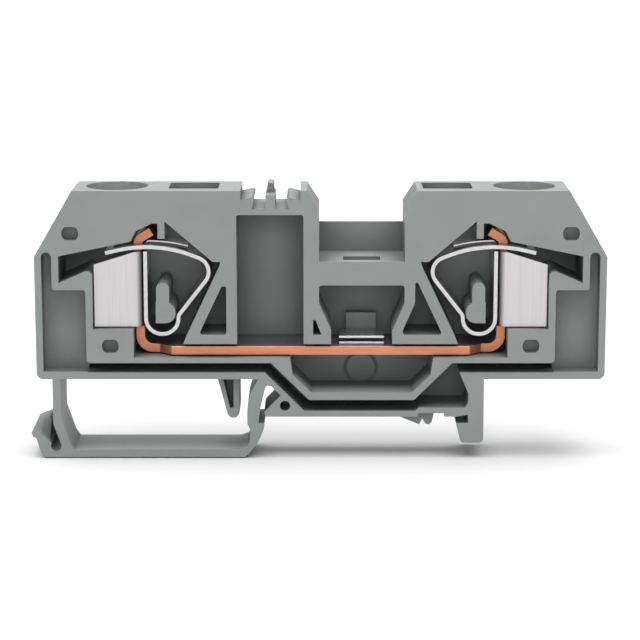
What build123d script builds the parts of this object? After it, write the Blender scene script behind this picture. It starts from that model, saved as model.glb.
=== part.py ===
import os
from math import atan, cos, degrees, radians, sin, sqrt, tan

from build123d import *

os.makedirs("parts", exist_ok=True)

# All sizes are in millimetres.
# X runs along the block, Y through its thickness, and Z up from the top face of the rail.
# The open side faces -Y. A depth is measured inwards from the open side.
# A reach is measured from the body's middle towards either end, so it serves both ends.

# Body
body_length = 95.0
body_width = 12.0
body_top = 38.2
body_underside = 6.45
body_middle = -7.15
back_wall = 1.0
side_wall = 1.15
end_chamfer_run = 6.4
end_chamfer_drop = 11.0
bottom_corner = 1.1
pocket_corner = 0.35

# Marker groove between the left tower and the middle tower
groove_inset = 0.7
middle_tower_width = 3.1
groove_depth = 3.0
barb_reach = 2.25
barb_undercut = 0.35
barb_side_height = 1.45
barb_tip_height = 1.95
marker_post_width = 1.6
marker_post_length = 8.2
marker_post_height = 2.3
marker_knob_start = 3.4
marker_knob_width = 1.1
marker_knob_height = 3.9
marker_knob_round = 0.5

# Middle recess, with the slot for a plug-in bridge
recess_share = 0.509
recess_floor = 26.36
recess_lip = 0.6
recess_lip_height = 5.0
tower_chamfer_run = 2.0
tower_chamfer_drop = 3.1
bridge_slot_length = 6.2
bridge_slot_width = 3.45
bridge_slot_depth = 3.86
recess_bar_height = 3.96

# Pocket under the marker groove
tall_pocket_roof = 1.0
tall_pocket_wall = 2.6

# Funnel pocket under the bridge slot
funnel_neck_half = 5.1
funnel_shoulder = 19.4
funnel_neck = 14.8
funnel_corner = 0.5
lug_half = 2.55
lug_bottom = 13.15
lug_height = 2.9
lug_length = 1.9

# Ribs, and the hollows behind them
rib_width = 1.95
rib_top_gap = 0.25
rib_foot_gap = 1.45
rib_toe_run = 0.6
rib_root_run = 0.25
rib_top_drop = 0.05
rib_foot_rise = 0.1
rib_web = 1.6
pocket_inwards = 17.1
hollow_depth = 9.0
left_hollow_top = 0.75
right_hollow_top = 0.45
hollow_wall = 1.75
hollow_corner = 0.4
hollow_top_corner = 0.2
small_hollow_top = 0.4
small_hollow_foot = 1.4
small_hollow_height = 2.5
small_hollow_wall = 1.6

# Current bar
bar_underside = 10.35
bar_thickness = 1.55
bar_edge_clearance = 0.05
bar_clearance = 0.2
bar_roof_clearance = 0.55
bar_side_clearance = 0.15
leg_distance = 16.45
leg_width = 5.4
bar_neck = 6.1
bar_taper = 2.0
bar_bend = 1.4
tip_drop = 0.1
tip_lean = 0.42
tip_lean_radius = 2.0
tip_length = 2.93
tip_angle = 31.0
tip_bend = 0.35

# Clamp spring, a bent strip whose window slides along the upright leg
strip_thickness = 0.62
strip_clearance = 0.05
spring_gap = 0.02
nose_outwards = 4.77
nose_drop = 1.95
crest_inwards = 3.7
crest_height = 17.65
crest_run = 6.63
shoulder_inwards = 13.95
shoulder_drop = 4.0
shoulder_radius = 2.5
waist_inwards = 7.3
waist_rise = 0.5
waist_radius = 1.2
loop_height = 2.0
loop_flat = 0.15
neck_drop = 1.67
tab_inwards = 8.85
tab_start_drop = 0.3
tab_knee_inwards = 5.6
tab_knee_drop = 0.5
tab_drop = 1.2
tab_bend = 0.7
tab_curve = 20.0
tab_clearance = 0.2
window_end_bar = 1.2
window_clearance = 0.4
window_inner_gap = 0.5
window_outer_drop = 0.5
window_inner_drop = 1.45
window_height = 4.0

# Conductor guide, a folded channel between the upright leg and the spring
guide_thickness = 0.3
guide_fold = 1.2
guide_reach = 6.7
guide_top_gap = 1.7
guide_top_drop = 2.1
guide_back_drop = 2.2
guide_gap = 0.2
guide_floor_gap = 0.25

# Contact spring for the bridge, folded at the back
clip_thickness = 0.4
clip_width = 7.6
clip_front = 2.5
clip_back_gap = 0.5
clip_gap = 0.05
clip_opening = 0.6

# Conductor entries and tool slots
entry_outwards = 3.0
entry_setback = 0.5
entry_mouth_radius = 5.2
entry_bore_radius = 4.3
entry_cone_height = 3.2
entry_length = 6.2
entry_throat_radius = 3.0
entry_throat_height = 4.2
slot_inwards = 9.925
slot_setback = 0.6
slot_length = 8.25
slot_width = 7.2
slot_height = 11.2
slot_corner = 0.4

# Clamp cavity, whose roof follows the spring
roof_gap = 0.2
roof_fall = 2.45
roof_low_outwards = 0.45
roof_step_inwards = 0.55
roof_step_gap = 2.1
roof_high_inwards = 3.2
roof_high_gap = 3.35
hanger_inwards = 4.1
hanger_width = 1.15
hanger_gap = 0.7
ramp_top_gap = 3.7
ramp_foot_inwards = 13.15
ramp_foot_gap = 0.81
shelf_outer = 22.8
shelf_inner = 24.75
post_width = 1.15
post_round = 0.9
block_top = 14.95

# Boss inside the loop of each spring
boss_inwards = 4.73
boss_width = 2.15
boss_up = 7.375
boss_height = 6.85
boss_foot_inwards = 5.2
boss_foot_up = 5.7
boss_foot_width = 3.3
boss_foot_height = 3.5
boss_foot_round = 1.65
boss_setback = 0.8

# Shallow pockets beside the cavities
pocket_depth = 3.0
pocket_top = 21.6
pocket_floor = 7.75
pocket_step = 0.95
pocket_ledge_corner = 0.75
pocket_top_corner = 0.5
pocket_slot_width = 1.7
pocket_slot_top = 27.1

# Locating recesses in the open side, and the low pins on the closed side that enter them
locator_radius = 1.4
locator_flat = 1.1
locator_depth = 1.5
locator_clearance = 0.15
pin_height = 0.7
locator_places = [(6.05, 31.1), (12.4, 12.1)]

# Trough, and the groove below the bar
foot_depth = 10.2
foot_back_wall = 1.0
ledge_thickness = 0.95
base_wall = 1.15
trough_middle = -0.3
trough_half = 11.53
trough_flare = 0.45
trough_shoulder = 7.18
trough_floor_half = 8.43
trough_floor = 4.17
trough_base = 1.3
trough_outer_floor = 8.8
mark_radius = 2.75
mark_height = 6.5
mark_thickness = 0.15
groove_run_out = 0.15
slope_run = 7.7
slope_wall = 0.92
slope_floor = 1.0
step_right = 9.35
step_left = 8.7
cell_floor = 1.55
cell_profile = [(-0.53, 0.0), (-0.04, 0.81), (0.03, 2.36)]
cell_top_inset = 1.52

# Rail bed and fixed foot
rail_half = 17.5
rail_flange = 1.0
rail_clearance = 0.1
toe_notch = 3.65
toe_gap = 1.0
toe_height = 0.8
toe_inset = 0.2
bend_relief_start = 8.4
bend_relief_length = 4.45
bend_relief_height = 0.6
slot_relief = 0.3
hook_reach = 2.0
hook_taper = 0.8
fixed_foot_wall = 2.6
fixed_foot_bottom = -4.5
fixed_foot_corner = 0.75
fin_profile = [(-12.3, 0.0), (-8.13, -1.69), (-7.64, -0.66), (-7.05, -1.6), (-6.4, -1.69), (-6.0, -1.2)]
fin_end = 5.6
fin_setback = 1.5
fin_length = 6.0
socket_run = 4.47
socket_height = 1.88
socket_radius = 0.86
socket_depth = 5.0

# Elastic foot: strut, release lever, beam, catch and arm
foot_bottom = -7.0
beam_thickness = 1.35
strut_width = 1.25
strut_inset = 2.6
strut_knee = -1.26
strut_bend = -0.05
strut_sway = 1.05
strut_toe = -4.2
knee_rise = 1.1
knee_toe = 5.35
knee_heel = 6.1
lever_heel = [(1.95, -4.2), (0.35, -2.85), (-0.85, -2.2), (-1.11, -2.82), (-0.88, -3.43)]
lever_side = [(-0.3, -3.77), (0.4, -6.12), (0.89, -6.81)]
lever_foot = 1.56
lever_front = [(-1.11, -2.82), (-0.85, -2.2), (0.35, -2.85), (1.95, -4.2), (0.65, -4.6)]
lever_back = [(-1.11, -2.82), (-0.84, -1.97), (0.26, -1.54), (1.37, -1.1), (0.65, -4.6)]
lever_web = [(0.65, -4.6), (1.37, -1.1), (2.8, -0.55), (4.0, -4.2), (3.95, -6.0), (2.0, -6.0)]
lever_web_thickness = 3.0
eye_inset = 3.0
eye_height = -5.05
eye_radius = 0.9
catch_heel = -2.29
catch_cheek = (-0.43, -4.9)
catch_lip = (0.98, -1.78)
arm_inner = [(0.36, 1.67), (1.2, 5.05), (1.5, 5.3), (2.1, 5.3)]
arm_root = 0.03
arm_outer = [(-1.38, 3.91), (-1.73, 2.54), (-1.87, 0.81), (-1.84, -1.26), (-1.42, -2.13)]
arm_fillet = [(-1.4, -4.0), (-1.9, -5.15)]
arm_fillet_end = 3.1

# Finger that limits the travel of the elastic foot
finger_run = 3.2
finger_root = 3.7
finger_tip = 0.5
finger_radius = 1.05
finger_wall = 1.0
finger_setback = 1.5
finger_length = 7.0
finger_hollow_depth = 4.0
finger_hollow_top = 6.05
finger_hollow_foot = 1.15

# Places worked out from the sizes
body_half = body_length / 2
left_end = body_middle - body_half
right_end = body_middle + body_half
open_side = -body_width / 2
pocket_outer = body_half - side_wall
pocket_slot_inner = pocket_outer - pocket_slot_width
cavity_outer = pocket_slot_inner - post_width
cavity_depth = body_width - back_wall
clip_back = cavity_depth - lug_length - clip_back_gap
lower_depth = foot_depth - foot_back_wall
bar_top = bar_underside + bar_thickness
bar_width = 2 * (cavity_depth + open_side - bar_edge_clearance)
bar_roof = bar_top + bar_roof_clearance
ledge_top = bar_underside - bar_clearance
ledge_bottom = ledge_top - ledge_thickness
leg_reach = body_half - leg_distance
pocket_reach = leg_reach - pocket_inwards
recess_half = recess_share * pocket_reach
recess_right = body_middle + pocket_reach
recess_left = recess_right - 2 * recess_half
bridge_middle = recess_right - recess_half
recess_bar_underside = recess_floor - recess_bar_height
groove_floor = body_top - groove_depth
tall_pocket_right = recess_left - tall_pocket_wall
tall_pocket_left = body_middle - pocket_reach
groove_right = recess_left - middle_tower_width
groove_left = tall_pocket_left + groove_inset
groove_middle = (groove_left + groove_right) / 2
post_inner = leg_reach + guide_reach + guide_gap
post_outer = post_inner + post_width
post_corner = shelf_inner + post_width * (shelf_inner - shelf_outer) / (cavity_outer - post_outer)
block_inner = leg_reach + bar_side_clearance
groove_end = post_outer - groove_run_out
base_top = body_underside + base_wall
rail_side = rail_half + rail_clearance
rail_ledge = -(rail_flange + rail_clearance)
fixed_foot_right = rail_side + fixed_foot_wall
bend_relief_left = rail_side - bend_relief_start
slope_foot = -rail_side + slope_run
toe_left = -rail_side + toe_gap
beam_top = foot_bottom + beam_thickness
strut_outer = left_end + strut_inset
strut_inner = strut_outer + strut_width
finger_right = -rail_side - finger_run
entry_angle = 2 * degrees(atan((entry_mouth_radius - entry_bore_radius) / entry_cone_height))
strip_width = bar_width - 2 * (guide_thickness + strip_clearance)
spring_leg = bar_thickness + spring_gap + strip_thickness / 2
loop_radius = (waist_inwards - spring_leg - loop_flat) / 2
waist_height = loop_height + loop_radius + waist_rise
nose_height = crest_height - nose_drop
shoulder_height = crest_height - shoulder_drop
neck_height = crest_height - neck_drop
tip_height = crest_height - tip_drop
crest_turn = atan(nose_drop / (crest_inwards + nose_outwards)) + atan(
    shoulder_drop / (shoulder_inwards - crest_inwards)
)
crest_radius = crest_run / tan(crest_turn / 2)
window_width = leg_width + 2 * window_clearance
window_inwards = spring_leg + strip_thickness / 2 + window_inner_gap
guide_bottom = block_top - bar_top + guide_floor_gap
guide_inner_top = crest_height - guide_top_gap
roof_low = bar_top + crest_height + roof_gap
rib_top_reach = leg_reach - shoulder_inwards - rib_top_gap
rib_foot_reach = leg_reach - waist_inwards - rib_foot_gap
rib_toe_reach = rib_foot_reach + rib_toe_run
rib_top = bar_top + shoulder_height - rib_top_drop
rib_foot = bar_top + loop_height + rib_foot_rise
rib_slope = (rib_foot_reach - rib_top_reach) / (rib_top - rib_foot)
hollow_floor = bar_roof + rib_web
hollow_wall_reach = pocket_reach + hollow_wall
sides = {"left": -1, "right": 1}


# A plane facing the open side, at a depth behind it
def at_depth(depth):
    return Plane.XZ.offset(-open_side - depth)


# A point by its side, its reach from the body's middle and its height
def end_point(side, reach, height):
    return (body_middle + side * reach, height)


# A point of a clamp, by its offset from the outer face of the upright leg and its height over the bar
def clamp_point(side, outwards, up):
    return end_point(side, leg_reach + outwards, bar_top + up)


# The corners of a sketch that lie nearest to some points
def corners(sketch, points):
    return [sketch.vertices().sort_by_distance((x, y, 0))[0] for x, y in points]


# A wall that slopes down to the right at 45 degrees, at a height and a distance outside its inner face
def slope_point(height, wall):
    return (slope_foot - (height - slope_floor) - wall * sqrt(2), height)


# How far the cavity side of a long rib reaches at a height
def rib_reach(height):
    return rib_top_reach + (rib_top - height) * rib_slope


# The height at which a hollow is still some width across
def hollow_height(width):
    return rib_top - (hollow_wall_reach + width + rib_width - rib_top_reach) / rib_slope


# A profile moved along the block
def moved(profile, distance):
    return [(x + distance, height) for x, height in profile]


body_outline = [
    (left_end, body_underside),
    (left_end, body_top - end_chamfer_drop),
    (left_end + end_chamfer_run, body_top),
    (groove_left, body_top),
    (groove_left, groove_floor),
    (groove_right, groove_floor),
    (groove_right, body_top),
    (recess_left - tower_chamfer_run, body_top),
    (recess_left, body_top - tower_chamfer_drop),
    (recess_left, recess_floor),
    (recess_right, recess_floor),
    (recess_right, body_top - tower_chamfer_drop),
    (recess_right + tower_chamfer_run, body_top),
    (right_end - end_chamfer_run, body_top),
    (right_end, body_top - end_chamfer_drop),
    (right_end, body_underside),
]

# The rail bed, from its sloping wall on the left to the fixed foot on the right
bed_outline = [
    slope_point(body_underside, slope_wall),
    slope_point(toe_notch, slope_wall),
    (toe_left, toe_height),
    (toe_left + toe_inset, 0),
    (bend_relief_left, 0),
    (bend_relief_left, bend_relief_height),
    (bend_relief_left + bend_relief_length, bend_relief_height),
    (bend_relief_left + bend_relief_length, 0),
    (rail_side - hook_reach, 0),
    (rail_side - slot_relief, slot_relief),
    (rail_side, slot_relief),
    (rail_side, rail_ledge),
    (rail_side - hook_reach, rail_ledge),
    (rail_side - hook_reach + hook_taper, fixed_foot_bottom),
    (fixed_foot_right, fixed_foot_bottom),
    (fixed_foot_right, body_underside),
]

fin_outline = moved(fin_profile, rail_side) + [
    (rail_side - fin_end, bend_relief_height),
    (bend_relief_left, bend_relief_height),
]

# The elastic foot, from the catch's lip up its arm, back over the beam and round the release lever
catch_points = moved([(catch_heel, foot_bottom), catch_cheek, catch_lip], -rail_side)
arm_right = moved(arm_inner, -rail_side)
foot_line = [
    catch_points[-1],
    (catch_points[-1][0], rail_ledge),
    (-rail_side, rail_ledge),
    *arm_right,
    (arm_right[-1][0], body_underside),
    (-rail_side - arm_root, body_underside),
    *moved(arm_outer + arm_fillet, -rail_side),
    (-rail_side - arm_fillet_end, beam_top),
    (left_end + knee_heel, beam_top),
    (left_end + knee_toe, beam_top + knee_rise),
    (strut_inner, strut_bend),
    (strut_inner, body_underside),
    (strut_outer, body_underside),
    (strut_outer, strut_knee),
    (strut_outer + strut_sway, strut_toe),
    (left_end + eye_inset + eye_radius / 2, eye_height),
    (left_end + eye_inset - eye_radius / 2, eye_height),
    *moved(lever_heel + lever_side, left_end),
    (left_end + lever_foot, foot_bottom),
    catch_points[0],
]

finger_outline = [
    (finger_right - finger_root, body_underside),
    (finger_right - 2 * finger_radius, finger_tip),
    (finger_right, finger_tip),
    (finger_right, body_underside),
]

finger_hollow_outline = [
    (finger_right - finger_root + finger_wall, finger_hollow_top),
    (finger_right - 2 * finger_radius + finger_wall / 2, finger_hollow_foot),
    (finger_right - finger_wall, finger_hollow_foot),
    (finger_right - finger_wall, finger_hollow_top),
]


# A barb of the marker groove leans over the groove's floor
def barb_outline(wall_x, towards):
    tip_x = wall_x + towards * barb_reach
    return [
        (wall_x, groove_floor),
        (wall_x, groove_floor + barb_side_height),
        (tip_x - towards * barb_undercut, groove_floor + barb_tip_height),
        (tip_x, groove_floor + barb_tip_height - barb_undercut),
        (tip_x - towards * barb_undercut, groove_floor),
    ]


# A clamp cavity, from its outer roof corner inwards, down the long rib and back over the block
def cavity_outline(side):
    hanger_bottom = bar_top + crest_height + hanger_gap
    tip_top = bar_top + tip_height
    reaches = [
        (cavity_outer, roof_low - roof_fall),
        (leg_reach + roof_low_outwards, roof_low),
        (leg_reach - roof_step_inwards, tip_top + roof_step_gap),
        (leg_reach - roof_high_inwards, tip_top + roof_high_gap),
        (leg_reach - hanger_inwards, tip_top + roof_high_gap),
        (leg_reach - hanger_inwards, hanger_bottom),
        (leg_reach - hanger_inwards - hanger_width, hanger_bottom),
        (leg_reach - hanger_inwards - hanger_width, tip_top + ramp_top_gap),
        (leg_reach - ramp_foot_inwards, bar_top + shoulder_height + ramp_foot_gap),
        (rib_top_reach - rib_root_run, bar_top + shoulder_height + ramp_foot_gap),
        (rib_top_reach, rib_top),
        (rib_foot_reach, rib_foot),
        (rib_toe_reach, bar_roof),
        (rib_toe_reach, ledge_top),
        (block_inner, ledge_top),
        (block_inner, block_top),
        (post_inner, block_top),
        (post_inner, post_corner),
        (cavity_outer, shelf_outer),
    ]
    return [end_point(side, reach, height) for reach, height in reaches]


# The shallow pocket at an end wall, with the slot that runs up beside the cavity
def side_pocket_outline(side):
    reaches = [
        (pocket_outer, pocket_floor),
        (pocket_outer, pocket_slot_top),
        (pocket_slot_inner, pocket_slot_top),
        (pocket_slot_inner, pocket_top),
        (post_outer, pocket_top),
        (post_outer, ledge_bottom),
        (post_outer - pocket_step, ledge_bottom),
        (post_outer - pocket_step, pocket_floor),
    ]
    return [end_point(side, reach, height) for reach, height in reaches]


# The groove under the bar's ledge and round the trough, with the cell beside the rail bed
trough_outer_rise = ledge_bottom - trough_floor + trough_base
groove_outline = [
    end_point(-1, groove_end, ledge_bottom),
    (trough_middle - trough_outer_floor - trough_outer_rise, ledge_bottom),
    (trough_middle - trough_outer_floor, trough_floor - trough_base),
    (trough_middle + trough_outer_floor, trough_floor - trough_base),
    (trough_middle + trough_outer_floor + trough_outer_rise, ledge_bottom),
    end_point(1, groove_end, ledge_bottom),
    end_point(1, groove_end, base_top),
    (rail_side - cell_top_inset, base_top),
    *[(rail_side + x, cell_floor + rise) for x, rise in reversed(cell_profile)],
    (step_right, cell_floor),
    (step_left, slope_floor),
    (slope_foot, slope_floor),
    slope_point(base_top, 0),
    end_point(-1, groove_end, base_top),
]

trough_outline = [
    (trough_middle - trough_half - trough_flare, ledge_top),
    (trough_middle - trough_half, trough_shoulder),
    (trough_middle - trough_floor_half, trough_floor),
    (trough_middle + trough_floor_half, trough_floor),
    (trough_middle + trough_half, trough_shoulder),
    (trough_middle + trough_half + trough_flare, ledge_top),
]

channel_outline = [
    end_point(-1, rib_toe_reach, ledge_top),
    end_point(-1, rib_toe_reach, bar_roof),
    end_point(1, rib_toe_reach, bar_roof),
    end_point(1, rib_toe_reach, ledge_top),
]

tall_pocket_outline = [
    (tall_pocket_left, bar_roof),
    (tall_pocket_left, groove_floor - tall_pocket_roof),
    (tall_pocket_right, groove_floor - tall_pocket_roof),
    (tall_pocket_right, bar_roof),
]

funnel_outline = [
    (recess_left, recess_bar_underside),
    (recess_left, funnel_shoulder),
    (bridge_middle - funnel_neck_half, funnel_neck),
    (bridge_middle - funnel_neck_half, bar_roof),
    (bridge_middle + funnel_neck_half, bar_roof),
    (bridge_middle + funnel_neck_half, funnel_neck),
    (recess_right, funnel_shoulder),
    (recess_right, recess_bar_underside),
]

left_hollow_outline = [
    end_point(-1, hollow_wall_reach, hollow_floor),
    end_point(-1, hollow_wall_reach, hollow_height(left_hollow_top)),
    end_point(-1, hollow_wall_reach + left_hollow_top, hollow_height(left_hollow_top)),
    end_point(-1, rib_reach(hollow_floor) - rib_width, hollow_floor),
]

right_hollow_outline = [
    end_point(1, hollow_wall_reach + right_hollow_top, hollow_height(right_hollow_top)),
    end_point(1, hollow_wall_reach, hollow_height(right_hollow_top)),
    end_point(1, hollow_wall_reach, funnel_shoulder),
    (bridge_middle + funnel_neck_half + hollow_wall, funnel_neck),
    (bridge_middle + funnel_neck_half + hollow_wall, hollow_floor),
    end_point(1, rib_reach(hollow_floor) - rib_width, hollow_floor),
]

small_hollow_outline = [
    (tall_pocket_right + small_hollow_wall, hollow_floor),
    (tall_pocket_right + small_hollow_wall, hollow_floor + small_hollow_height),
    (tall_pocket_right + small_hollow_wall + small_hollow_top, hollow_floor + small_hollow_height),
    (tall_pocket_right + small_hollow_wall + small_hollow_foot, hollow_floor),
]

locator_points = [
    end_point(side, body_half - inset, height)
    for side in sides.values()
    for inset, height in locator_places
]

# The housing is one moulding, open at the front
with BuildPart() as housing:
    # Body with its towers
    with BuildSketch(at_depth(0)) as body_face:
        Polygon(*body_outline, align=None)
        fillet(corners(body_face, [(left_end, body_underside), (right_end, body_underside)]), bottom_corner)
    extrude(amount=-body_width)

    # Rail bed with the fixed foot, and the elastic fin under it
    with BuildSketch(at_depth(0)) as bed_face:
        Polygon(*bed_outline, align=None)
        fillet(corners(bed_face, bed_outline[-3:-1]), fixed_foot_corner)
    extrude(amount=-foot_depth)
    with BuildSketch(at_depth(fin_setback)):
        Polygon(*fin_outline, align=None)
    extrude(amount=-fin_length)

    # Elastic foot, whose lever grows taller towards the back
    with BuildSketch(at_depth(0)):
        with BuildLine():
            Polyline(*foot_line)
            ThreePointArc(*catch_points)
        make_face()
    extrude(amount=-foot_depth)
    with BuildSketch(at_depth(0)):
        Polygon(*moved(lever_front, left_end), align=None)
    with BuildSketch(at_depth(foot_depth)):
        Polygon(*moved(lever_back, left_end), align=None)
    loft()
    with BuildSketch(at_depth(0)):
        with Locations((left_end + eye_inset, eye_height)):
            Circle(eye_radius)
    extrude(amount=-foot_depth, mode=Mode.SUBTRACT)
    with BuildSketch(at_depth(foot_depth - lever_web_thickness)):
        Polygon(*moved(lever_web, left_end), align=None)
    extrude(amount=-lever_web_thickness)

    # Finger with a hollow in its front
    with BuildSketch(at_depth(finger_setback)):
        Polygon(*finger_outline, align=None)
        with Locations((finger_right - finger_radius, finger_tip)):
            Circle(finger_radius)
    extrude(amount=-finger_length)
    with BuildSketch(at_depth(finger_setback)):
        Polygon(*finger_hollow_outline, align=None)
    extrude(amount=-finger_hollow_depth, mode=Mode.SUBTRACT)

    # Barbs and post of the marker groove
    with BuildSketch(at_depth(0)):
        Polygon(*barb_outline(groove_left, 1), align=None)
        Polygon(*barb_outline(groove_right, -1), align=None)
    extrude(amount=-body_width)
    with BuildSketch(at_depth(0)):
        with Locations((groove_middle, groove_floor)):
            Rectangle(marker_post_width, marker_post_height, align=(Align.CENTER, Align.MIN))
    extrude(amount=-marker_post_length)
    with BuildSketch(at_depth(marker_knob_start)) as knob_face:
        with Locations((groove_middle, groove_floor)):
            Rectangle(marker_knob_width, marker_knob_height, align=(Align.CENTER, Align.MIN))
        fillet(knob_face.vertices().group_by(Axis.Y)[-1], marker_knob_round)
    extrude(amount=-(marker_post_length - marker_knob_start))

    # Thin lip behind the middle recess
    with BuildSketch(at_depth(body_width - recess_lip)):
        with Locations((recess_left, recess_floor)):
            Rectangle(2 * recess_half, recess_lip_height, align=Align.MIN)
    extrude(amount=-recess_lip)

    # Locating recesses in the open side and low pins on the closed side
    with BuildSketch(at_depth(0)):
        with Locations(*locator_points):
            Circle(locator_radius)
            Rectangle(2 * locator_radius, 2 * locator_flat, mode=Mode.INTERSECT)
    extrude(amount=-locator_depth, mode=Mode.SUBTRACT)
    with BuildSketch(at_depth(body_width)):
        with Locations(*locator_points):
            Circle(locator_radius - locator_clearance)
            Rectangle(2 * locator_radius, 2 * (locator_flat - locator_clearance), mode=Mode.INTERSECT)
    extrude(amount=-pin_height)

    # Clamp cavities, bar channel, tall pocket and funnel pocket
    with BuildSketch(at_depth(0)) as deep_face:
        for side in sides.values():
            Polygon(*cavity_outline(side), align=None)
        Polygon(*channel_outline, align=None)
        Polygon(*tall_pocket_outline, align=None)
        Polygon(*funnel_outline, align=None)
        fillet(corners(deep_face, tall_pocket_outline[1:3]), pocket_corner)
        fillet(corners(deep_face, funnel_outline[::7]), funnel_corner)
        post_tips = [end_point(side, post_inner, post_corner) for side in sides.values()]
        fillet(corners(deep_face, post_tips), post_round)
    extrude(amount=-cavity_depth, mode=Mode.SUBTRACT)

    # Hollows behind the ribs
    with BuildSketch(at_depth(0)) as hollow_face:
        Polygon(*left_hollow_outline, align=None)
        Polygon(*right_hollow_outline, align=None)
        fillet(corners(hollow_face, left_hollow_outline[::3] + right_hollow_outline[4:]), hollow_corner)
        fillet(corners(hollow_face, left_hollow_outline[1:3] + right_hollow_outline[:2]), hollow_top_corner)
        Polygon(*small_hollow_outline, align=None)
    extrude(amount=-hollow_depth, mode=Mode.SUBTRACT)

    # Trough, and the groove round it
    with BuildSketch(at_depth(0)):
        Polygon(*groove_outline, align=None)
        Polygon(*trough_outline, align=None)
    extrude(amount=-lower_depth, mode=Mode.SUBTRACT)
    with BuildSketch(at_depth(lower_depth - mark_thickness)):
        with Locations((trough_middle, mark_height)):
            Circle(mark_radius)
    extrude(amount=-mark_thickness)

    # Shallow side pockets with a round top to their slots
    with BuildSketch(at_depth(0)) as side_face:
        for side in sides.values():
            Polygon(*side_pocket_outline(side), align=None)
            with Locations(end_point(side, pocket_outer - pocket_slot_width / 2, pocket_slot_top)):
                Circle(pocket_slot_width / 2)
        for side in sides.values():
            fillet(corners(side_face, side_pocket_outline(side)[3:5]), pocket_top_corner)
            fillet(corners(side_face, side_pocket_outline(side)[5:6]), pocket_ledge_corner)
    extrude(amount=-pocket_depth, mode=Mode.SUBTRACT)

    # Socket in the toe of the rail bed
    with BuildSketch(at_depth(0)):
        with Locations((-rail_side + socket_run, socket_height)):
            Circle(socket_radius)
    extrude(amount=-socket_depth, mode=Mode.SUBTRACT)

    # Conductor entries and tool slots from the top, and the bridge slot in the recess floor
    for side in sides.values():
        entry_x = body_middle + side * (leg_reach + entry_outwards)
        with Locations((entry_x, entry_setback, body_top)):
            CounterSinkHole(entry_bore_radius, entry_mouth_radius, entry_length, entry_angle)
        with Locations((entry_x, entry_setback, body_top - entry_length)):
            Cone(
                entry_throat_radius,
                entry_bore_radius,
                entry_throat_height,
                align=(Align.CENTER, Align.CENTER, Align.MAX),
                mode=Mode.SUBTRACT,
            )
    with BuildSketch(Plane.XY.offset(body_top)):
        for side in sides.values():
            with Locations((body_middle + side * (leg_reach - slot_inwards), slot_setback)):
                RectangleRounded(slot_length, slot_width, slot_corner)
    extrude(amount=-slot_height, mode=Mode.SUBTRACT)
    with BuildSketch(Plane.XY.offset(recess_floor)):
        with Locations((bridge_middle, open_side + bridge_slot_depth)):
            Rectangle(bridge_slot_length, bridge_slot_width)
    extrude(amount=-recess_bar_height, mode=Mode.SUBTRACT)

    # Bosses inside the spring loops, standing on the back wall
    with BuildSketch(at_depth(boss_setback)) as boss_face:
        for side in sides.values():
            foot_middle = clamp_point(side, -boss_foot_inwards, boss_foot_up)
            with Locations(foot_middle):
                Rectangle(boss_foot_width, boss_foot_height)
            inner_x = foot_middle[0] - side * boss_foot_width / 2
            inner_corners = [(inner_x, foot_middle[1] + end * boss_foot_height / 2) for end in (-1, 1)]
            fillet(corners(boss_face, inner_corners), boss_foot_round)
        for side in sides.values():
            with Locations(clamp_point(side, -boss_inwards, boss_up)):
                SlotOverall(boss_height, boss_width, rotation=90)
    extrude(amount=-(cavity_depth - boss_setback))

    # Lug on the back wall of the funnel pocket
    with BuildSketch(at_depth(cavity_depth - lug_length)):
        with Locations((bridge_middle - lug_half, lug_bottom)):
            Rectangle(2 * lug_half, lug_height, align=Align.MIN)
    extrude(amount=-lug_length)

# The current bar is one bent strip, wide in the middle and narrow at its upright legs
with BuildPart() as current_bar:
    leg_centre = -bar_thickness / 2
    tip_inwards = leg_centre + tip_lean - tip_length * cos(radians(tip_angle))
    tip_rise = tip_height + tip_length * sin(radians(tip_angle))
    lean_height = guide_inner_top + 2 * guide_gap
    with BuildSketch(Plane.XZ):
        with BuildLine():
            FilletPolyline(
                clamp_point(-1, tip_inwards, tip_rise),
                clamp_point(-1, leg_centre + tip_lean, tip_height),
                clamp_point(-1, leg_centre, lean_height),
                clamp_point(-1, leg_centre, leg_centre),
                clamp_point(1, leg_centre, leg_centre),
                clamp_point(1, leg_centre, lean_height),
                clamp_point(1, leg_centre + tip_lean, tip_height),
                clamp_point(1, tip_inwards, tip_rise),
                radius=[
                    tip_bend + bar_thickness / 2,
                    tip_lean_radius,
                    bar_bend + bar_thickness / 2,
                    bar_bend + bar_thickness / 2,
                    tip_lean_radius,
                    tip_bend + bar_thickness / 2,
                ],
            )
        trace(line_width=bar_thickness)
    extrude(amount=bar_width / 2, both=True)
    # Narrow both ends
    neck_reach = leg_reach - bar_neck
    with BuildSketch(Plane.XY):
        for side in sides.values():
            for edge in (-1, 1):
                Polygon(
                    (body_middle + side * neck_reach, edge * bar_width / 2),
                    (body_middle + side * (neck_reach + bar_taper), edge * leg_width / 2),
                    (body_middle + side * body_half, edge * leg_width / 2),
                    (body_middle + side * body_half, edge * body_width / 2),
                    (body_middle + side * neck_reach, edge * body_width / 2),
                    align=None,
                )
    extrude(amount=body_top, mode=Mode.SUBTRACT)
    # Rebates that take the webs of the conductor guides
    with BuildSketch(Plane.XZ):
        for side in sides.values():
            Polygon(
                clamp_point(side, -bar_thickness, guide_bottom - guide_gap),
                clamp_point(side, -bar_thickness + guide_thickness, guide_bottom - guide_gap),
                clamp_point(side, -bar_thickness + guide_thickness, guide_inner_top + guide_gap),
                clamp_point(side, -bar_thickness, guide_inner_top + guide_gap),
                align=None,
            )
    extrude(amount=bar_width / 2, both=True, mode=Mode.SUBTRACT)

current_bar.part.label = "current_bar"
export_step(current_bar.part, "parts/current_bar.step")

housing.part.label = "housing"
export_step(housing.part, "parts/housing.step")

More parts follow.
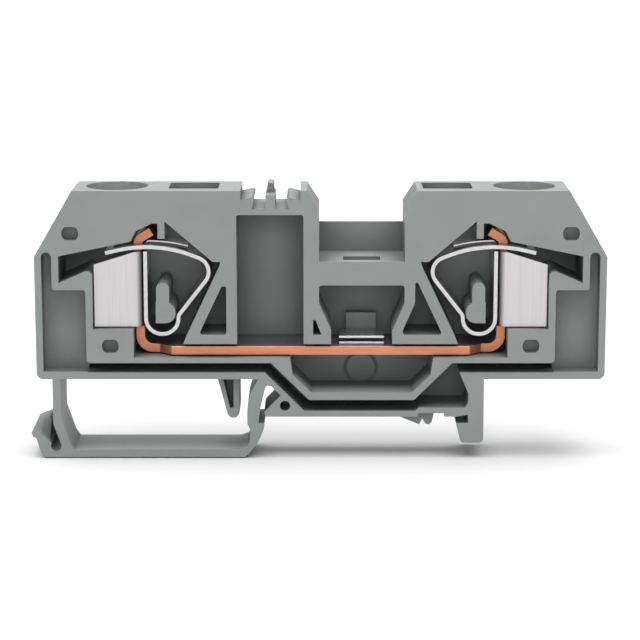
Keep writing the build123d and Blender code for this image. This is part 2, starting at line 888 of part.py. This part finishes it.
# Each clamp spring loops round its boss; its window passes over the upright leg and the spring's own end
for name, side in sides.items():
    with BuildPart() as clamp_spring:
        with BuildSketch(Plane.XZ):
            with BuildLine():
                FilletPolyline(
                    clamp_point(side, nose_outwards, nose_height),
                    clamp_point(side, -crest_inwards, crest_height),
                    clamp_point(side, -shoulder_inwards, shoulder_height),
                    clamp_point(side, -waist_inwards, waist_height),
                    clamp_point(side, -waist_inwards, loop_height),
                    clamp_point(side, -spring_leg, loop_height),
                    clamp_point(side, -spring_leg, neck_height),
                    radius=[crest_radius, shoulder_radius, waist_radius, loop_radius, loop_radius],
                )
            trace(line_width=strip_thickness)
        extrude(amount=strip_width / 2, both=True)
        # Window
        with BuildSketch(Plane.XZ):
            Polygon(
                clamp_point(side, nose_outwards - window_end_bar, nose_height - window_outer_drop),
                clamp_point(side, nose_outwards - window_end_bar, nose_height + window_height),
                clamp_point(side, -window_inwards, nose_height + window_height),
                clamp_point(side, -window_inwards, crest_height - window_inner_drop),
                align=None,
            )
        extrude(amount=window_width / 2, both=True, mode=Mode.SUBTRACT)
        # Narrow end that passes through the window and lies over the crest
        with BuildSketch(Plane.XZ):
            with BuildLine():
                FilletPolyline(
                    clamp_point(side, -spring_leg, neck_height),
                    clamp_point(side, -spring_leg, crest_height - tab_start_drop),
                    clamp_point(side, -tab_knee_inwards, crest_height - tab_knee_drop),
                    clamp_point(side, -tab_inwards, crest_height - tab_drop),
                    radius=[tab_bend, tab_curve],
                )
            trace(line_width=strip_thickness)
        extrude(amount=window_width / 2 - tab_clearance, both=True)
    clamp_spring.part.label = "clamp_spring_" + name
    export_step(clamp_spring.part, "parts/clamp_spring_" + name + ".step")

# Each conductor guide is a folded channel, its web in the leg's rebate and its flanges beside the conductor
for name, side in sides.items():
    web_x = body_middle + side * (leg_reach - bar_thickness)
    flange_x = web_x + side * (bar_thickness + guide_reach)
    half_width = bar_width / 2
    with BuildPart() as conductor_guide:
        with BuildSketch(Plane.XY.offset(bar_top + guide_bottom)) as channel_section:
            Polygon(
                (web_x, -half_width),
                (flange_x, -half_width),
                (flange_x, half_width),
                (web_x, half_width),
                align=None,
            )
            fillet(corners(channel_section, [(web_x, -half_width), (web_x, half_width)]), guide_fold)
            inner_half = half_width - guide_thickness
            inner_x = web_x + side * guide_thickness
            with BuildSketch(mode=Mode.SUBTRACT) as channel_inside:
                Polygon(
                    (inner_x, -inner_half),
                    (flange_x, -inner_half),
                    (flange_x, inner_half),
                    (inner_x, inner_half),
                    align=None,
                )
                fillet(
                    corners(channel_inside, [(inner_x, -inner_half), (inner_x, inner_half)]),
                    guide_fold - guide_thickness,
                )
        extrude(amount=guide_inner_top - guide_bottom)
        # Slanted top
        with BuildSketch(Plane.XZ):
            Polygon(
                clamp_point(side, 0, guide_inner_top),
                clamp_point(side, guide_reach, guide_inner_top - guide_top_drop),
                clamp_point(side, guide_reach, guide_inner_top),
                align=None,
            )
        extrude(amount=half_width, both=True, mode=Mode.SUBTRACT)
        # The back flange is lower
        with BuildSketch(Plane.XZ):
            Polygon(
                clamp_point(side, 0, guide_inner_top - guide_back_drop),
                clamp_point(side, guide_reach, guide_inner_top - guide_top_drop - guide_back_drop),
                clamp_point(side, guide_reach, guide_inner_top),
                clamp_point(side, 0, guide_inner_top),
                align=None,
            )
        extrude(amount=-half_width, mode=Mode.SUBTRACT)
    conductor_guide.part.label = "conductor_guide_" + name
    export_step(conductor_guide.part, "parts/conductor_guide_" + name + ".step")

# The bridge contact stands on the bar; its upper leg springs towards the bridge slot
with BuildPart() as bridge_contact:
    lower_z = bar_top + clip_gap + clip_thickness / 2
    upper_z = lower_z + clip_thickness + clip_opening
    fold_radius = (upper_z - lower_z) / 2
    with BuildSketch(Plane.YZ.offset(bridge_middle)):
        with BuildLine():
            Polyline(
                (open_side + clip_front, lower_z),
                (open_side + clip_back - fold_radius, lower_z),
            )
            RadiusArc(
                (open_side + clip_back - fold_radius, lower_z),
                (open_side + clip_back - fold_radius, upper_z),
                -fold_radius,
            )
            Polyline(
                (open_side + clip_back - fold_radius, upper_z),
                (open_side + clip_front, upper_z),
            )
        trace(line_width=clip_thickness)
    extrude(amount=clip_width / 2, both=True)

bridge_contact.part.label = "bridge_contact"
export_step(bridge_contact.part, "parts/bridge_contact.step")
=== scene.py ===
import math

import bpy
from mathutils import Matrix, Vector


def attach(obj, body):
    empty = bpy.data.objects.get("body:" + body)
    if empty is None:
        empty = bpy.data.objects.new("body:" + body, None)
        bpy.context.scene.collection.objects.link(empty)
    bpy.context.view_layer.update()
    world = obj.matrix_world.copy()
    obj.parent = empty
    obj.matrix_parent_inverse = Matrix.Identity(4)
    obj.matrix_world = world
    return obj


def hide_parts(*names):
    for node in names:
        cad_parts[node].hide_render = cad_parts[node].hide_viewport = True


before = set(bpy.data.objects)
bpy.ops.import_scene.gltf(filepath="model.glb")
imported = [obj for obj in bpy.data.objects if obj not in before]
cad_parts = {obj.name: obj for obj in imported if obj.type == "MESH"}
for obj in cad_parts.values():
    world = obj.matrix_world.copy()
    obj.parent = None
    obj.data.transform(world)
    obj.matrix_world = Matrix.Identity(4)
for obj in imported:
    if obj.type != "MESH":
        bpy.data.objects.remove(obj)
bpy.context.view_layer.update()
print("frame loaded:", len(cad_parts), "nodes")


# Small helpers for objects
def deselectAll():
    if bpy.context.object and bpy.context.object.mode != "OBJECT":
        bpy.ops.object.mode_set(mode="OBJECT")
    bpy.ops.object.select_all(action="DESELECT")


def makeActive(obj):
    deselectAll()
    obj.select_set(True)
    bpy.context.view_layer.objects.active = obj


def applyModifiers(obj):
    makeActive(obj)
    for modifier in list(obj.modifiers):
        bpy.ops.object.modifier_apply(modifier=modifier.name)


# Small helpers for materials; the ones that add a pattern or a sum give back its socket
def newMaterial(name):
    material = bpy.data.materials.new(name)
    material.use_nodes = True
    nodes = material.node_tree.nodes
    return material, nodes, material.node_tree.links, nodes["Principled BSDF"]


def objectCoords(nodes, links, stretch=(1, 1, 1)):
    coords = nodes.new("ShaderNodeTexCoord")
    mapping = nodes.new("ShaderNodeMapping")
    mapping.inputs["Scale"].default_value = stretch
    links.new(coords.outputs["Object"], mapping.inputs["Vector"])
    return mapping.outputs["Vector"]


# Object coordinates, with X as the distance from the body's middle, so that both sides of the body are alike
def mirroredAxes(nodes, links, middle):
    coords = nodes.new("ShaderNodeTexCoord")
    axes = nodes.new("ShaderNodeSeparateXYZ")
    links.new(coords.outputs["Object"], axes.inputs["Vector"])
    offset = nodes.new("ShaderNodeMath")
    offset.operation = "SUBTRACT"
    offset.inputs[1].default_value = middle
    links.new(axes.outputs["X"], offset.inputs[0])
    reach = nodes.new("ShaderNodeMath")
    reach.operation = "ABSOLUTE"
    links.new(offset.outputs["Value"], reach.inputs[0])
    return reach.outputs["Value"], axes.outputs["Y"], axes.outputs["Z"]


# How far a face looks along Y: -1 towards the open side, 1 towards the closed side
def facingY(nodes, links):
    geometry = nodes.new("ShaderNodeNewGeometry")
    normal = nodes.new("ShaderNodeSeparateXYZ")
    links.new(geometry.outputs["Normal"], normal.inputs["Vector"])
    return normal.outputs["Y"]


def addNoise(nodes, links, vector, scale, detail, roughness=0.5):
    noise = nodes.new("ShaderNodeTexNoise")
    noise.inputs["Scale"].default_value = scale
    noise.inputs["Detail"].default_value = detail
    noise.inputs["Roughness"].default_value = roughness
    links.new(vector, noise.inputs["Vector"])
    return noise.outputs["Fac"]


# Most of a noise lies between lowAt and highAt, so its change of tone is put there
def addRamp(nodes, links, value, low, high, lowAt=0.3, highAt=0.7):
    ramp = nodes.new("ShaderNodeValToRGB")
    ramp.color_ramp.elements[0].position = lowAt
    ramp.color_ramp.elements[1].position = highAt
    ramp.color_ramp.elements[0].color = (*low, 1)
    ramp.color_ramp.elements[1].color = (*high, 1)
    links.new(value, ramp.inputs["Fac"])
    return ramp.outputs["Color"]


# 1 where the value passes the limit in the way the operation says, 0 elsewhere
def addTest(nodes, links, operation, value, limit):
    test = nodes.new("ShaderNodeMath")
    test.operation = operation
    test.inputs[1].default_value = limit
    links.new(value, test.inputs[0])
    return test.outputs["Value"]


def addProduct(nodes, links, first, second):
    product = nodes.new("ShaderNodeMath")
    product.operation = "MULTIPLY"
    links.new(first, product.inputs[0])
    links.new(second, product.inputs[1])
    return product.outputs["Value"]


# The first colour where the share is 0, the second where it is 1
def addMix(nodes, links, share, first, second):
    mix = nodes.new("ShaderNodeMix")
    mix.data_type = "RGBA"
    links.new(share, mix.inputs["Factor"])
    for socket, colour in (("A", first), ("B", second)):
        if isinstance(colour, tuple):
            mix.inputs[socket].default_value = (*colour, 1)
        else:
            links.new(colour, mix.inputs[socket])
    return mix.outputs["Result"]


def addBump(nodes, links, value, strength, distance, shader):
    bump = nodes.new("ShaderNodeBump")
    bump.inputs["Strength"].default_value = strength
    bump.inputs["Distance"].default_value = distance
    links.new(value, bump.inputs["Height"])
    links.new(bump.outputs["Normal"], shader.inputs["Normal"])


# Housing: matt grey plastic with a fine grain, and painted shade in its grooves and pocket corners. Here and
# below, lengths are in metres and angles in degrees
plastic = {
    "low": (0.214, 0.229, 0.225),
    "high": (0.23, 0.246, 0.24),
    "cloudScale": 160,
    "cloudDetail": 3,
    "roughness": 0.5,
    "specular": 0.4,
    "grainScale": 9000,
    "grainDetail": 2,
    "grainStrength": 0.12,
    "grainDepth": 0.00002,
    "paintedShadeReach": 0.006,
    "paintedShadeSamples": 12,
    "paintedShadeTone": 0.61,  # painted shade: tone in the deepest grooves, as a share of the open faces' tone
    "paintedShadeFull": 0.58,  # openness at which the painted shade is deepest
}


def greyPlastic():
    material, nodes, links, shader = newMaterial("greyPlastic")
    vector = objectCoords(nodes, links)
    cloud = addNoise(nodes, links, vector, plastic["cloudScale"], plastic["cloudDetail"])
    tone = addRamp(nodes, links, cloud, plastic["low"], plastic["high"])
    # Painted shade: an ambient occlusion test darkens the colour in grooves and pocket corners, where shade
    # falls
    paintedShadeAO = nodes.new("ShaderNodeAmbientOcclusion")
    paintedShadeAO.samples = plastic["paintedShadeSamples"]
    paintedShadeAO.only_local = True
    paintedShadeAO.inputs["Distance"].default_value = plastic["paintedShadeReach"]
    paintedShadeFactor = nodes.new("ShaderNodeMapRange")
    paintedShadeFactor.inputs["From Min"].default_value = plastic["paintedShadeFull"]
    paintedShadeFactor.inputs["To Min"].default_value = plastic["paintedShadeTone"]
    links.new(paintedShadeAO.outputs["AO"], paintedShadeFactor.inputs["Value"])
    shaded = nodes.new("ShaderNodeVectorMath")
    shaded.operation = "SCALE"
    links.new(tone, shaded.inputs["Vector"])
    links.new(paintedShadeFactor.outputs["Result"], shaded.inputs["Scale"])
    links.new(shaded.outputs["Vector"], shader.inputs["Base Color"])
    shader.inputs["Roughness"].default_value = plastic["roughness"]
    shader.inputs["Specular IOR Level"].default_value = plastic["specular"]
    grain = addNoise(nodes, links, vector, plastic["grainScale"], plastic["grainDetail"])
    addBump(nodes, links, grain, plastic["grainStrength"], plastic["grainDepth"], shader)
    return material


# Current bar: bare copper where the strip was cut; its broad faces are painted a dark tin grey, a painted shade
# for the dark top face in the pocket
currentBar = {
    "copperLow": (0.54, 0.212, 0.116),
    "copperHigh": (0.615, 0.254, 0.142),
    "shadedGreyLow": (0.19, 0.19, 0.212),
    "shadedGreyHigh": (0.26, 0.26, 0.285),
    "shadedGreyUpTo": 0.3,  # how squarely a face may look along Y and still be all painted dark grey
    "copperFrom": 0.6,  # and from where it is all copper
    "metallic": 0.8,
    "roughness": 0.45,
    "streakStretch": (1, 6, 6),
    "streakScale": 300,
    "streakDetail": 4,
    "streakStrength": 0.1,
    "streakDepth": 0.00002,
}


def copperWithPaintedShade():
    material, nodes, links, shader = newMaterial("copperWithPaintedShade")
    shader.inputs["Metallic"].default_value = currentBar["metallic"]
    vector = objectCoords(nodes, links, currentBar["streakStretch"])
    streaks = addNoise(nodes, links, vector, currentBar["streakScale"], currentBar["streakDetail"])
    cutFace = addRamp(nodes, links, streaks, currentBar["copperLow"], currentBar["copperHigh"])
    # Painted shade: the broad faces get a dark grey in place of copper
    shadedBroadFace = addRamp(nodes, links, streaks, currentBar["shadedGreyLow"], currentBar["shadedGreyHigh"])
    sideways = nodes.new("ShaderNodeMath")
    sideways.operation = "ABSOLUTE"
    links.new(facingY(nodes, links), sideways.inputs[0])
    isCut = nodes.new("ShaderNodeMapRange")
    isCut.inputs["From Min"].default_value = currentBar["shadedGreyUpTo"]
    isCut.inputs["From Max"].default_value = currentBar["copperFrom"]
    links.new(sideways.outputs["Value"], isCut.inputs["Value"])
    metal = addMix(nodes, links, isCut.outputs["Result"], shadedBroadFace, cutFace)
    links.new(metal, shader.inputs["Base Color"])
    shader.inputs["Roughness"].default_value = currentBar["roughness"]
    addBump(nodes, links, streaks, currentBar["streakStrength"], currentBar["streakDepth"], shader)
    return material


bodyMiddle = -0.00715  # X of the body's middle

# Conductor guides: brushed sheet with its grain up the sheet, with painted shade where it rolls into the fold
guideSteel = {
    "low": (0.5, 0.477, 0.486),
    "high": (0.565, 0.546, 0.55),
    "foldShade": (0.09, 0.085, 0.09),
    "foldStart": 0.0296,  # distances from the body's middle
    "foldEnd": 0.0309,
    "metallic": 1.0,
    "roughness": 0.4,
    "grainStretch": (30, 30, 0.3),
    "grainScale": 260,
    "grainDetail": 3,
    "grainRoughness": 0.6,
    "grainStrength": 0.1,
    "grainDepth": 0.00001,
}


def brushedSteel():
    material, nodes, links, shader = newMaterial("brushedSteel")
    shader.inputs["Metallic"].default_value = guideSteel["metallic"]
    vector = objectCoords(nodes, links, guideSteel["grainStretch"])
    grain = addNoise(
        nodes, links, vector, guideSteel["grainScale"], guideSteel["grainDetail"], guideSteel["grainRoughness"]
    )
    brushed = addRamp(nodes, links, grain, guideSteel["low"], guideSteel["high"])
    # Painted shade: the colour turns dark near the fold, by the distance from the body's middle
    reach, _, _ = mirroredAxes(nodes, links, bodyMiddle)
    flatness = nodes.new("ShaderNodeMapRange")
    flatness.interpolation_type = "SMOOTHSTEP"
    flatness.inputs["From Min"].default_value = guideSteel["foldStart"]
    flatness.inputs["From Max"].default_value = guideSteel["foldEnd"]
    links.new(reach, flatness.inputs["Value"])
    sheet = addMix(nodes, links, flatness.outputs["Result"], guideSteel["foldShade"], brushed)
    links.new(sheet, shader.inputs["Base Color"])
    shader.inputs["Roughness"].default_value = guideSteel["roughness"]
    addBump(nodes, links, grain, guideSteel["grainStrength"], guideSteel["grainDepth"], shader)
    return material


# Clamp springs and bridge contact: bright strip with its rolling lines across the width.
# The sheared edge of a clamp spring's narrow end lies deeper than the strip's own edges and follows an arc over
# the crest: above the arc it keeps the strip's own tone, below it is painted dark, a painted shade on an edge
# that lies set back in shadow
clampSpring = {
    "low": (0.5, 0.49, 0.495),
    "high": (0.575, 0.565, 0.57),
    "metallic": 1.0,
    "roughness": 0.32,
    "lineStretch": (2, 0.4, 2),
    "lineScale": 700,
    "lineDetail": 4,
    "lineStrength": 0.08,
    "lineDepth": 0.00001,
    "paintedShadeEdge": (0.06, 0.058, 0.06),
    "edgeFacing": -0.7,  # the edge looks towards the open side at least this squarely
    "edgeDepth": -0.0036,  # it lies behind this Y
    "edgeFoot": 0.0275,  # and above this Z
    "arcCentre": (0.028923, 0, 0.002661),  # X is the distance from the body's middle
    "paintedShadeRadius": 0.02664,  # the painted shade lies inside this radius
}


def springSteel():
    material, nodes, links, shader = newMaterial("springSteel")
    shader.inputs["Metallic"].default_value = clampSpring["metallic"]
    vector = objectCoords(nodes, links, clampSpring["lineStretch"])
    lines = addNoise(nodes, links, vector, clampSpring["lineScale"], clampSpring["lineDetail"])
    rolled = addRamp(nodes, links, lines, clampSpring["low"], clampSpring["high"])
    reach, depth, height = mirroredAxes(nodes, links, bodyMiddle)
    place = nodes.new("ShaderNodeCombineXYZ")
    links.new(reach, place.inputs["X"])
    links.new(height, place.inputs["Z"])
    radius = nodes.new("ShaderNodeVectorMath")
    radius.operation = "DISTANCE"
    radius.inputs[1].default_value = clampSpring["arcCentre"]
    links.new(place.outputs["Vector"], radius.inputs[0])
    # Painted shade: the set-back front edge of the narrow end is darkened below the arc
    facesOut = addTest(nodes, links, "LESS_THAN", facingY(nodes, links), clampSpring["edgeFacing"])
    isDeep = addTest(nodes, links, "GREATER_THAN", depth, clampSpring["edgeDepth"])
    isHigh = addTest(nodes, links, "GREATER_THAN", height, clampSpring["edgeFoot"])
    isInside = addTest(nodes, links, "LESS_THAN", radius.outputs["Value"], clampSpring["paintedShadeRadius"])
    isEdge = addProduct(nodes, links, facesOut, isDeep)
    isBand = addProduct(nodes, links, isInside, isHigh)
    isPaintedShade = addProduct(nodes, links, isEdge, isBand)
    strip = addMix(nodes, links, isPaintedShade, rolled, clampSpring["paintedShadeEdge"])
    links.new(strip, shader.inputs["Base Color"])
    shader.inputs["Roughness"].default_value = clampSpring["roughness"]
    addBump(nodes, links, lines, clampSpring["lineStrength"], clampSpring["lineDepth"], shader)
    return material


finishes = {
    "housing": greyPlastic(),
    "current_bar": copperWithPaintedShade(),
    "guide_steel": brushedSteel(),
    "spring_steel": springSteel(),
}
print("finishes made")

# Each piece's finish, and how its edges are softened
pieces = {
    "housing": {"finish": "housing", "width": 0.00014, "segments": 2},
    "current_bar": {"finish": "current_bar", "width": 0.00016, "segments": 2},
    "clamp_spring_left": {"finish": "spring_steel", "width": 0.00012, "segments": 2},
    "clamp_spring_right": {"finish": "spring_steel", "width": 0.00012, "segments": 2},
    "conductor_guide_left": {"finish": "guide_steel", "width": 0.00005, "segments": 1},
    "conductor_guide_right": {"finish": "guide_steel", "width": 0.00005, "segments": 1},
    "bridge_contact": {"finish": "spring_steel", "width": 0.00006, "segments": 1},
}
for name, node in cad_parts.items():
    node.data.materials.clear()
    node.data.materials.append(finishes[pieces[name]["finish"]])

# The ring that a moulding pin leaves on the trough's back wall
pinMark = {
    "place": (-0.0003, 0.0032, 0.0065),
    "radius": 0.00265,
    "thickness": 0.0003,
    "tilt": 90,
    "ringSegments": 64,
    "sectionSegments": 8,
}


def cutRing(housing):
    deselectAll()
    bpy.ops.mesh.primitive_torus_add(
        location=pinMark["place"],
        rotation=(math.radians(pinMark["tilt"]), 0, 0),
        major_radius=pinMark["radius"],
        minor_radius=pinMark["thickness"],
        major_segments=pinMark["ringSegments"],
        minor_segments=pinMark["sectionSegments"],
    )
    ring = bpy.context.object
    groove = housing.modifiers.new("ringGroove", "BOOLEAN")
    groove.operation = "DIFFERENCE"
    groove.solver = "EXACT"
    groove.object = ring
    applyModifiers(housing)
    bpy.data.objects.remove(ring)


softening = {
    "mergeDistance": 0.000002,
    "flatAngle": 0.5,  # triangles that turn less than this become one face
    "bevelAngle": 35,  # edges that turn more than this are softened
    "smoothAngle": 32,  # edges that turn less than this are shaded round
}


# A merged copy of a plain solid with its edges softened
def softened(name, width, segments):
    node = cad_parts[name]
    copy = node.copy()
    copy.data = node.data.copy()
    copy.name = name + "Piece"
    bpy.context.scene.collection.objects.link(copy)
    makeActive(copy)
    bpy.ops.object.mode_set(mode="EDIT")
    bpy.ops.mesh.select_all(action="SELECT")
    bpy.ops.mesh.remove_doubles(threshold=softening["mergeDistance"])
    bpy.ops.mesh.select_all(action="SELECT")
    bpy.ops.mesh.dissolve_limited(angle_limit=math.radians(softening["flatAngle"]))
    bpy.ops.object.mode_set(mode="OBJECT")
    if name == "housing":
        cutRing(copy)
    bevel = copy.modifiers.new("softEdges", "BEVEL")
    bevel.width = width
    bevel.segments = segments
    bevel.limit_method = "ANGLE"
    bevel.angle_limit = math.radians(softening["bevelAngle"])
    applyModifiers(copy)
    bpy.ops.object.shade_smooth_by_angle(angle=math.radians(softening["smoothAngle"]))
    flatFaces = copy.modifiers.new("flatFaces", "WEIGHTED_NORMAL")
    flatFaces.keep_sharp = True
    applyModifiers(copy)
    return copy


for name, look in pieces.items():
    piece = softened(name, look["width"], look["segments"])
    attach(piece, "root")
    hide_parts(name)
print("edges softened")

# A wide pale floor just under the feet, and an even white sky
studio = {
    "floorHeight": -0.0072,
    "floorSize": 6.0,
    "floorTone": (0.64, 0.64, 0.64),
    "floorRoughness": 0.9,
    "skyTone": (1, 1, 1),
    "skyLight": 0.18,
}

deselectAll()
bpy.ops.mesh.primitive_plane_add(size=studio["floorSize"], location=(0, 0, studio["floorHeight"]))
floor = bpy.context.object
floor.name = "floor"
floorFinish, _, _, floorShader = newMaterial("paleFloor")
floorShader.inputs["Base Color"].default_value = (*studio["floorTone"], 1)
floorShader.inputs["Roughness"].default_value = studio["floorRoughness"]
floor.data.materials.append(floorFinish)

world = bpy.data.worlds.new("studio")
bpy.context.scene.world = world
bpy.context.scene.view_settings.view_transform = "Standard"
world.use_nodes = True
sky = world.node_tree.nodes["Background"]
sky.inputs["Color"].default_value = (*studio["skyTone"], 1)
sky.inputs["Strength"].default_value = studio["skyLight"]

# Almost straight down and very soft, so that the floor is even and the top faces are bright
overheadLamp = {"place": (0, -0.2, 1), "tilt": 4.0, "strength": 5.1, "softness": 75.0}

deselectAll()
bpy.ops.object.light_add(
    type="SUN",
    location=overheadLamp["place"],
    rotation=(math.radians(overheadLamp["tilt"]), 0, 0),
)
overhead = bpy.context.object
overhead.name = "overheadLight"
overhead.data.energy = overheadLamp["strength"]
overhead.data.angle = math.radians(overheadLamp["softness"])

# Low and weak at both sides, stronger in front to reach into the pockets, and one behind for the closed side
lamps = {
    "leftLamp": {"place": (-0.5, -0.16, 0.05), "target": (0, 0, 0.02), "size": (0.2, 0.4), "power": 0.12},
    "frontLamp": {"place": (0, -0.6, 0.2), "target": (0, 0, 0.02), "size": (0.3, 0.3), "power": 0.9},
    "backLamp": {"place": (0, 0.5, 0.25), "target": (0, 0, 0), "size": (0.6, 0.3), "power": 0.6},
    "rightLamp": {"place": (0.5, -0.16, 0.05), "target": (0, 0, 0.02), "size": (0.2, 0.4), "power": 0.12},
}


def areaLamp(name, place, target, size, power):
    deselectAll()
    bpy.ops.object.light_add(type="AREA", location=place)
    lamp = bpy.context.object
    lamp.name = name
    lamp.data.shape = "RECTANGLE"
    lamp.data.size = size[0]
    lamp.data.size_y = size[1]
    lamp.data.energy = power
    direction = Vector(target) - Vector(place)
    lamp.rotation_euler = direction.to_track_quat("-Z", "Y").to_euler()


for name, lamp in lamps.items():
    areaLamp(name, **lamp)

# The camera looks at the open side from a little above
lens = {
    "place": (-0.007255, -0.37742, 0.09098),
    "pitch": 78.67,
    "focal": 128.0,
    "sensor": 36.0,
    "nearest": 0.01,
    "farthest": 20,
}

deselectAll()
bpy.ops.object.camera_add(location=lens["place"], rotation=(math.radians(lens["pitch"]), 0, 0))
camera = bpy.context.object
camera.data.sensor_width = lens["sensor"]
camera.data.lens = lens["focal"]
camera.data.clip_start = lens["nearest"]
camera.data.clip_end = lens["farthest"]
camera.data.dof.use_dof = False
bpy.context.scene.camera = camera
print("studio ready")
